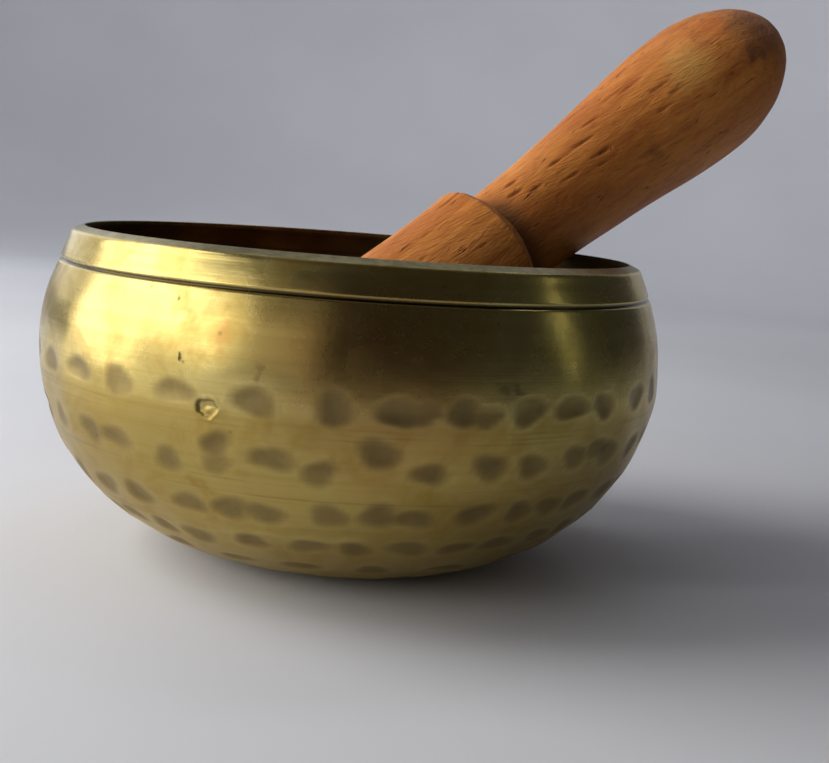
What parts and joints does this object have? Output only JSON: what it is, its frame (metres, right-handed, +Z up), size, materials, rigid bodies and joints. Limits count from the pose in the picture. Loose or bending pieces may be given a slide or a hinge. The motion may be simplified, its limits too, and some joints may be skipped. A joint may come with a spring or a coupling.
{
  "type": "singing bowl with striker",
  "caption": "Small hand-hammered brass singing bowl with a grooved band below its lip and a turned wooden striker leaning in it.",
  "frame": {"origin": "centre of the bowl's flat foot, on the surface it stands on", "axes": "+Z up along the bowl's axis, away from the foot; the striker rises towards +X and +Y and -Y is the front"},
  "size_m": [0.1178, 0.0931, 0.089],
  "materials": {
    "brass": "hand-hammered aged brass, satin, with a brown-olive patina in the dents and a dark inside",
    "wood": "turned orange-brown hardwood, unvarnished, with short dark pores along the grain"
  },
  "bodies": {
    "bowl": {"bowl": "brass"},
    "striker": {"striker": "wood"}
  },
  "joints": [
    {"name": "striker_lift", "type": "slide", "parent": "bowl", "child": "striker", "axis": [0, 0, 1], "range_m": [0, 0.06]}
  ]
}
